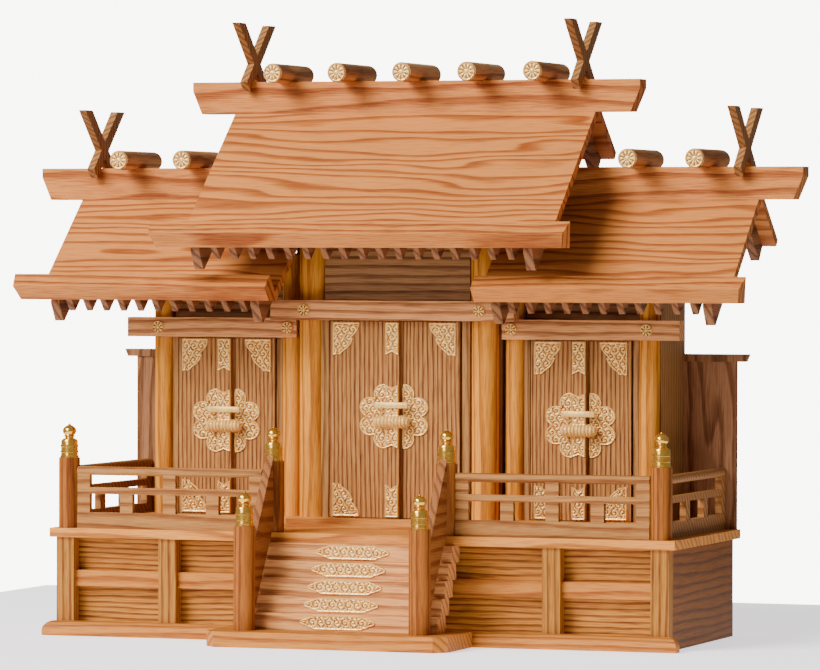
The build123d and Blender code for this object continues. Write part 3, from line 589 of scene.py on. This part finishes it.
def strip(bm, centre_x, half, face, z_flat, z_tail, notch):
    """A strip up the meeting batten with a swallow tail at one end."""
    toward = 1 if z_tail > z_flat else -1
    length = abs(z_tail - z_flat)
    rows = []
    for along in steps(0.0, length):
        row = []
        for across in spread(-1.0, 1.0, facets_over(2 * half)):
            reach = length - notch * (1 - abs(across))
            row.append((centre_x + half * across, z_flat + toward * reach * along / length))
        rows.append(row)
    pressed_plate(bm, rows, face, centre_x, z_flat)


def middle_of(low, high):
    """The point half way between two corners."""
    return (Vector(low) + Vector(high)) / 2


def polyline(bm, points):
    """Vertices at points in mm, joined in order, as geometry to spin."""
    verts = [bm.verts.new(Vector(point) * MM) for point in points]
    return verts + [bm.edges.new(pair) for pair in zip(verts, verts[1:])]


def soft_block(bm, low, high, soften):
    """A block in mm with softened edges."""
    made = bmesh.ops.create_cube(bm, size=1.0)["verts"]
    span = (Vector(high) - Vector(low)) * MM
    place = Matrix.Translation(middle_of(low, high) * MM)
    bmesh.ops.transform(bm, verts=made, matrix=place @ Matrix.Diagonal((*span, 1)))
    edges = dict.fromkeys(edge for vert in made for edge in vert.link_edges)
    bmesh.ops.bevel(bm, geom=list(edges), offset=soften * MM, segments=2, affect="EDGES", profile=0.5,
                    material=-1)


# Distances in metres under which vertices are one: at a pole, and on a finished relief
POLE_WELD = 0.000001
RELIEF_WELD = 0.00002

# A boss's facets: rings from its middle to its rim, and spokes to a petal
BOSS_RINGS = 14
SPOKES_PER_PETAL = 6
# Shares of a boss's radius: end of the bright centre, its dome's radius, and start of the beaded rim
BOSS_CENTRE = 0.26
BOSS_DOME = 0.27
BOSS_RIM = 0.84
# Powers that round a petal along and across, the flat share of a boss's height, and its gilt limit
PETAL_LENGTHWAYS = 0.5
PETAL_SIDEWAYS = 0.6
BOSS_GROUND = 0.4
BOSS_GILT_FROM = 1.6


def petal_height(share, turn, petals):
    """Height from 0 to 1 of a boss of petals, at a share of its radius and an angle."""
    if share < BOSS_CENTRE:
        return math.sqrt(1 - (share / BOSS_DOME) ** 2)
    if share > BOSS_RIM:
        return half_round((share - BOSS_RIM) / (1 - BOSS_RIM))
    along = (share - BOSS_CENTRE) / (BOSS_RIM - BOSS_CENTRE)
    return (math.sin(math.pi * along) ** PETAL_LENGTHWAYS
            * abs(math.cos(petals * turn / 2)) ** PETAL_SIDEWAYS)


def rosette(bm, x, z, face, radius, petals, tall):
    """A round boss of radiating petals with a bright centre and a beaded rim."""
    known = set(bm.verts)
    spoke = polyline(bm, [(x + reach, face, z) for reach in spread(0.0, radius, BOSS_RINGS)])
    bmesh.ops.spin(bm, geom=spoke, cent=Vector((x, face, z)) * MM, axis=(0, 1, 0), angle=math.tau,
                   steps=petals * SPOKES_PER_PETAL, use_merge=True)
    made = [vert for vert in bm.verts if vert not in known]
    bmesh.ops.remove_doubles(bm, verts=made, dist=POLE_WELD)
    made = [vert for vert in made if vert.is_valid]
    raised = {}
    for vert in made:
        dx = vert.co.x / MM - x
        dz = vert.co.z / MM - z
        raised[vert] = petal_height(math.hypot(dx, dz) / radius, math.atan2(dz, dx), petals)
        vert.co.y = (face - tall * (BOSS_GROUND + (1 - BOSS_GROUND) * raised[vert])) * MM
    close_relief(bm, made, raised, BOSS_GILT_FROM, face)


def relief_piece(name, bm, node):
    """Join the doubles of a pressed piece and hand it over with its two metals."""
    bmesh.ops.remove_doubles(bm, verts=bm.verts, dist=RELIEF_WELD)
    # The second metal is the painted shade in the relief's hollows
    new_piece(name, bm, ("gilt_stamped_brass", "stained_brass"), node, smooth_under=50)


# Radius and height of the turned cap, in mm: banded skirt, shoulder, neck ring, onion and tip
CAP_PROFILE = (
    (6.2, 0), (6.2, 1.0), (5.7, 1.4), (5.6, 3.3), (6.0, 3.6), (6.0, 4.4), (5.6, 4.7), (5.6, 7.0), (6.0, 7.3),
    (6.0, 8.1), (5.6, 8.4), (5.55, 10.9), (5.1, 11.8), (4.0, 12.5), (2.9, 12.9), (2.8, 13.6), (3.7, 13.9),
    (3.7, 14.5), (2.9, 14.8), (3.4, 15.3), (4.2, 16.2), (4.55, 17.4), (4.4, 18.6), (3.8, 19.7), (2.8, 20.6),
    (1.7, 21.2), (1.0, 21.5), (0.9, 22.1), (0.3, 22.5))
CAP_SEGMENTS = 40


class SHRINE_OT_post_caps(bpy.types.Operator):
    """Turn the six onion caps in polished brass"""

    bl_idname = "shrine.post_caps"
    bl_label = "Post caps"

    def execute(self, context):
        bm = bmesh.new()
        for low, high in islands("post_caps"):
            middle = middle_of(low, high)
            self.turn_cap(bm, Vector((middle.x, middle.y, low.z)))
        new_piece("turned_post_caps", bm, ("turned_cap_brass",), "post_caps", smooth_under=28)
        return {"FINISHED"}

    def turn_cap(self, bm, foot):
        """One cap, turned from its profile round the upright axis through its foot, with closed ends."""
        profile = polyline(bm, [foot + Vector((radius, 0, height)) for radius, height in CAP_PROFILE])
        bmesh.ops.spin(bm, geom=profile, cent=foot * MM, axis=(0, 0, 1), angle=math.tau, steps=CAP_SEGMENTS,
                       use_merge=True)
        bmesh.ops.holes_fill(bm, edges=[edge for edge in bm.edges if edge.is_boundary], sides=0)


# Corner plates of the doors, in mm
CORNER_WIDE = 19.0
CORNER_TALL = 21.8

# Meeting batten: half its width, what its strips leave bare at each side, and the cut of their tails
BATTEN_HALF = 4.8
BATTEN_MARGIN = 0.1
END_STRIP_NOTCH = 2.6
CREST_STRIP_NOTCH = 1.8

# Crest: gap beside the batten, radius, how much wider than tall, and height up the door as a share
CREST_SPLIT = 1.2
CREST_RADIUS = 22.6
CREST_STRETCH = 1.13
CREST_HEIGHTS = {"main": 0.517, "left": 0.53, "right": 0.53}

# Lock: its flat bar above the middle of the crest, and the ribbed barrel below it, in mm
LOCK_BAR_HALF = 11.6
LOCK_BAR_UP = 5.5
LOCK_BAR_TALL = 4.0
LOCK_BAR_PROUD = 1.6
LOCK_BAR_SOFT = 0.5
LOCK_BARREL_HALF = 12.6
LOCK_BARREL_DOWN = 3.4
LOCK_BARREL_RADIUS = 4.2
LOCK_BARREL_LEAST = 0.02
LOCK_RIB_MM = 2.4
LOCK_RIB_SHARE = 0.1
# The higher this power, the squarer the barrel's ends
LOCK_END_POWER = 8
LOCK_SEGMENTS = 28


class SHRINE_OT_door_fittings(bpy.types.Operator):
    """Press the corner plates, batten strips, crest and lock of every door"""

    bl_idname = "shrine.door_fittings"
    bl_label = "Door fittings"

    def execute(self, context):
        for door in CREST_HEIGHTS:
            left_low, left_high = mm_box(f"{door}_door_left_leaf")
            right_low, right_high = mm_box(f"{door}_door_right_leaf")
            centre = (left_low.x + right_high.x) / 2
            face = right_low.y
            for hand, side in (("left", -1), ("right", 1)):
                node = f"{door}_door_{hand}_leaf_fittings"
                low, high = mm_box(node)
                corner_x = low.x if side < 0 else high.x
                bm = bmesh.new()
                for z, toward_z in ((low.z, 1), (high.z, -1)):
                    corner_plate(bm, corner_x, z, face, -side, toward_z)
                crest_z = low.z + (high.z - low.z) * CREST_HEIGHTS[door]
                split = BATTEN_HALF if side < 0 else BATTEN_HALF + CREST_SPLIT
                crest_half(bm, centre, crest_z, face, side, split)
                if side < 0:
                    self.batten(bm, centre, left_low.y, low.z, high.z, crest_z)
                relief_piece(f"{door}_door_{hand}_gilding", bm, node)
        return {"FINISHED"}

    def batten(self, bm, centre, face, low, high, crest_z):
        """What sits on the meeting batten of the left leaf: strips, and the lock's bar and barrel."""
        half = BATTEN_HALF - BATTEN_MARGIN
        crest_strip = CREST_RADIUS - BATTEN_HALF / 3
        strip(bm, centre, half, face, high, high - CORNER_TALL, END_STRIP_NOTCH)
        strip(bm, centre, half, face, low, low + CORNER_TALL, END_STRIP_NOTCH)
        strip(bm, centre, half, face, crest_z, crest_z + crest_strip, CREST_STRIP_NOTCH)
        strip(bm, centre, half, face, crest_z, crest_z - crest_strip, CREST_STRIP_NOTCH)
        plate = face - bpy.context.scene.shrine_metal.ground_mm
        bar = crest_z + LOCK_BAR_UP
        soft_block(bm, (centre - LOCK_BAR_HALF, plate - LOCK_BAR_PROUD, bar),
                   (centre + LOCK_BAR_HALF, plate, bar + LOCK_BAR_TALL), LOCK_BAR_SOFT)
        self.barrel(bm, Vector((centre, plate, crest_z - LOCK_BARREL_DOWN)))

    def barrel(self, bm, middle):
        """The front half of the ribbed barrel, turned round its own length."""
        profile = []
        for along in steps(-LOCK_BARREL_HALF, LOCK_BARREL_HALF):
            end = max(0.0, 1 - (abs(along) / LOCK_BARREL_HALF) ** LOCK_END_POWER)
            rib = 1 + LOCK_RIB_SHARE * math.cos(math.tau * along / LOCK_RIB_MM)
            radius = LOCK_BARREL_RADIUS * rib * math.sqrt(end) + LOCK_BARREL_LEAST
            profile.append(middle + Vector((along, 0, radius)))
        bmesh.ops.spin(bm, geom=polyline(bm, profile), cent=middle * MM, axis=(1, 0, 0), angle=math.pi,
                       steps=LOCK_SEGMENTS)


# The small bosses: node, petals and the new piece's name
BOSSES = (("beam_rosettes", 8, "beam_rosette_gilding"), ("log_caps", 10, "log_disc_gilding"))


class SHRINE_OT_small_fittings(bpy.types.Operator):
    """Press the stair plaques, the beam rosettes and the discs on the logs"""

    bl_idname = "shrine.small_fittings"
    bl_label = "Plaques and rosettes"

    def execute(self, context):
        bm = bmesh.new()
        for low, high in islands("step_plaques"):
            stair_plaque(bm, low, high)
        relief_piece("stair_plaque_gilding", bm, "step_plaques")
        for node, petals, name in BOSSES:
            bm = bmesh.new()
            for low, high in islands(node):
                middle = middle_of(low, high)
                rosette(bm, middle.x, middle.z, high.y, (high.x - low.x) / 2, petals, high.y - low.y)
            relief_piece(name, bm, node)
        return {"FINISHED"}


def islands(node):
    """The corners, in mm, of each separate solid of a CAD node."""
    bm = bmesh.new()
    bm.from_mesh(frame["nodes"][node].data)
    bmesh.ops.remove_doubles(bm, verts=bm.verts, dist=POLE_WELD)
    boxes = []
    seen = set()
    for start in bm.verts:
        if start in seen:
            continue
        seen.add(start)
        found = [start]
        for vert in found:
            for neighbour in (edge.other_vert(vert) for edge in vert.link_edges):
                if neighbour not in seen:
                    seen.add(neighbour)
                    found.append(neighbour)
        low = Vector([min(vert.co[axis] for vert in found) for axis in range(3)]) / MM
        high = Vector([max(vert.co[axis] for vert in found) for axis in range(3)]) / MM
        boxes.append((low, high))
    bm.free()
    return boxes


# A plaque's pointed end, in shares of half its height: how long it is, how high its tip stands, and how
# deep and how long a scallop is
PLAQUE_END = 2.3
PLAQUE_TIP = 0.16
PLAQUE_LOBE = 0.07
PLAQUE_LOBE_LONG = 0.78


def stair_plaque(bm, low, high):
    """A long plaque with pointed, scalloped ends."""
    middle = middle_of(low, high)
    reach = (high.x - low.x) / 2
    tall = (high.z - low.z) / 2
    rows = []
    for x in steps(-reach, reach):
        inward = (reach - abs(x)) / tall
        point = PLAQUE_TIP + (1 - PLAQUE_TIP) * min(1.0, inward / PLAQUE_END)
        if inward < PLAQUE_END:
            point += PLAQUE_LOBE * abs(math.sin(math.pi * inward / PLAQUE_LOBE_LONG))
        half = tall * min(1.0, point)
        rows.append([(middle.x + x, middle.z + z) for z in spread(-half, half, facets_over(2 * tall))])
    pressed_plate(bm, rows, high.y, middle.x, middle.z)


# Each lamp: name, place, width and height in metres, and the panel's value for its power
LAMPS = (
    ("key_light", (-1.3, -2.0, 2.0), (1.6, 1.2), "key_watts"),
    ("front_light", (-0.9, -2.9, 0.75), (1.4, 1.0), "front_watts"),
)
LAMP_COLOUR = (1.0, 0.98, 0.95)
LAMP_TARGET = (0, 0, 0.2)

# The table lies this far under the ground, in metres, so that it doesn't cut the shrine's underside
TABLE_DROP = 0.0002
PAPER_COLOUR = "#faf6f2"
# The paper's light has faded out at this many times its own angle
PAPER_FADE = 1.6


class SHRINE_OT_stage(bpy.types.Operator):
    """Set the pale floor, the soft lights and the camera of the photograph"""

    bl_idname = "shrine.stage"
    bl_label = "Stage"

    def execute(self, context):
        sizes = context.scene.shrine_stage
        self.table(sizes)
        context.scene.world = self.room(sizes)
        for name, place, size, power in LAMPS:
            self.lamp(name, place, size, getattr(sizes, power))
        context.scene.camera = self.camera()
        return {"FINISHED"}

    def table(self, sizes):
        """Matt white paper that lets a little light through, so its edge stays pale."""
        bm = bmesh.new()
        bmesh.ops.create_grid(bm, x_segments=1, y_segments=1, size=sizes.table_half)
        mesh = bpy.data.meshes.new("studio_floor")
        bm.to_mesh(mesh)
        bm.free()
        material, tree, shader = new_material("matt_paper")
        shader.inputs["Base Color"].default_value = srgb(sizes.floor)
        shader.inputs["Roughness"].default_value = 0.9
        shader.inputs["Emission Color"].default_value = srgb(sizes.floor)
        shader.inputs["Emission Strength"].default_value = sizes.table_glow
        mesh.materials.append(material)
        floor = new_object("studio_floor", mesh)
        floor.location = (0, 0, -TABLE_DROP)

    def room(self, sizes):
        """A dim room with a bright paper background behind the shrine."""
        world = bpy.data.worlds.new("studio_room")
        world.use_nodes = True
        tree = world.node_tree
        turn = math.radians(CAMERA_TURN)
        coords = add_node(tree, "ShaderNodeTexCoord")
        toward = add_node(tree, "ShaderNodeVectorMath", {0: (coords, "Generated")},
                          {1: (-math.sin(turn), math.cos(turn), 0)}, operation="DOT_PRODUCT")
        glow = add_node(tree, "ShaderNodeMapRange", {"Value": (toward, "Value")},
                        {"From Min": math.cos(math.radians(sizes.paper_angle * PAPER_FADE)),
                         "From Max": math.cos(math.radians(sizes.paper_angle)),
                         "To Min": sizes.world, "To Max": sizes.paper}, interpolation_type="SMOOTHSTEP")
        background = tree.nodes["Background"]
        background.inputs["Color"].default_value = srgb(PAPER_COLOUR)
        tree.links.new(glow.outputs["Result"], background.inputs["Strength"])
        return world

    def lamp(self, name, place, size, watts):
        """A large soft lamp aimed at the shrine."""
        lamp = bpy.data.lights.new(name, "AREA")
        lamp.shape = "RECTANGLE"
        lamp.size, lamp.size_y = size
        lamp.energy = watts
        lamp.color = LAMP_COLOUR
        light = new_object(name, lamp)
        light.location = place
        aim = Vector(LAMP_TARGET) - Vector(place)
        light.rotation_euler = aim.to_track_quat("-Z", "Y").to_euler()

    def camera(self):
        """The photograph's camera, from its turn, its downward tilt and its roll."""
        turn, down, roll = (math.radians(angle) for angle in (CAMERA_TURN, CAMERA_DOWN, CAMERA_ROLL))
        ahead = Vector((-math.sin(turn) * math.cos(down), math.cos(turn) * math.cos(down), -math.sin(down)))
        flat = Vector((math.cos(turn), math.sin(turn), 0))
        level_up = flat.cross(ahead)
        right = flat * math.cos(roll) + level_up * math.sin(roll)
        up = level_up * math.cos(roll) - flat * math.sin(roll)
        lens = bpy.data.cameras.new("camera")
        lens.lens = CAMERA_LENS
        lens.sensor_width = 36.0
        lens.clip_end = 50.0
        camera = new_object("camera", lens)
        place = Matrix((right, up, -ahead)).transposed().to_4x4()
        place.translation = Vector(CAMERA_PLACE)
        camera.matrix_world = place
        return camera


class SHRINE_PT_panel(bpy.types.Panel):
    """Lists the steps that dress the shrine"""

    bl_idname = "SHRINE_PT_panel"
    bl_label = "Household shrine"
    bl_space_type = "VIEW_3D"
    bl_region_type = "UI"
    bl_category = "Shrine"

    def draw(self, context):
        for operator in OPERATORS:
            self.layout.operator(operator.bl_idname)
        for name, group in GROUPS.items():
            for key in group.__annotations__:
                self.layout.prop(getattr(context.scene, name), key)


GROUPS = {"shrine_wood": WoodSizes, "shrine_colours": WoodColours, "shrine_metal": MetalSizes,
          "shrine_stage": StageSizes}
OPERATORS = (SHRINE_OT_wood, SHRINE_OT_post_caps, SHRINE_OT_door_fittings, SHRINE_OT_small_fittings,
             SHRINE_OT_stage)


def register():
    """Register the values, the steps and the panel."""
    for name, group in GROUPS.items():
        bpy.utils.register_class(group)
        setattr(bpy.types.Scene, name, PointerProperty(type=group))
    for operator in OPERATORS:
        bpy.utils.register_class(operator)
    bpy.utils.register_class(SHRINE_PT_panel)


def unregister():
    """Take away what register added."""
    bpy.utils.unregister_class(SHRINE_PT_panel)
    for operator in reversed(OPERATORS):
        bpy.utils.unregister_class(operator)
    for name, group in reversed(list(GROUPS.items())):
        delattr(bpy.types.Scene, name)
        bpy.utils.unregister_class(group)


def main():
    """Register the classes and run every step."""
    register()
    bpy.ops.shrine.wood()
    bpy.ops.shrine.post_caps()
    bpy.ops.shrine.door_fittings()
    bpy.ops.shrine.small_fittings()
    bpy.ops.shrine.stage()


if __name__ == "__main__":
    main()
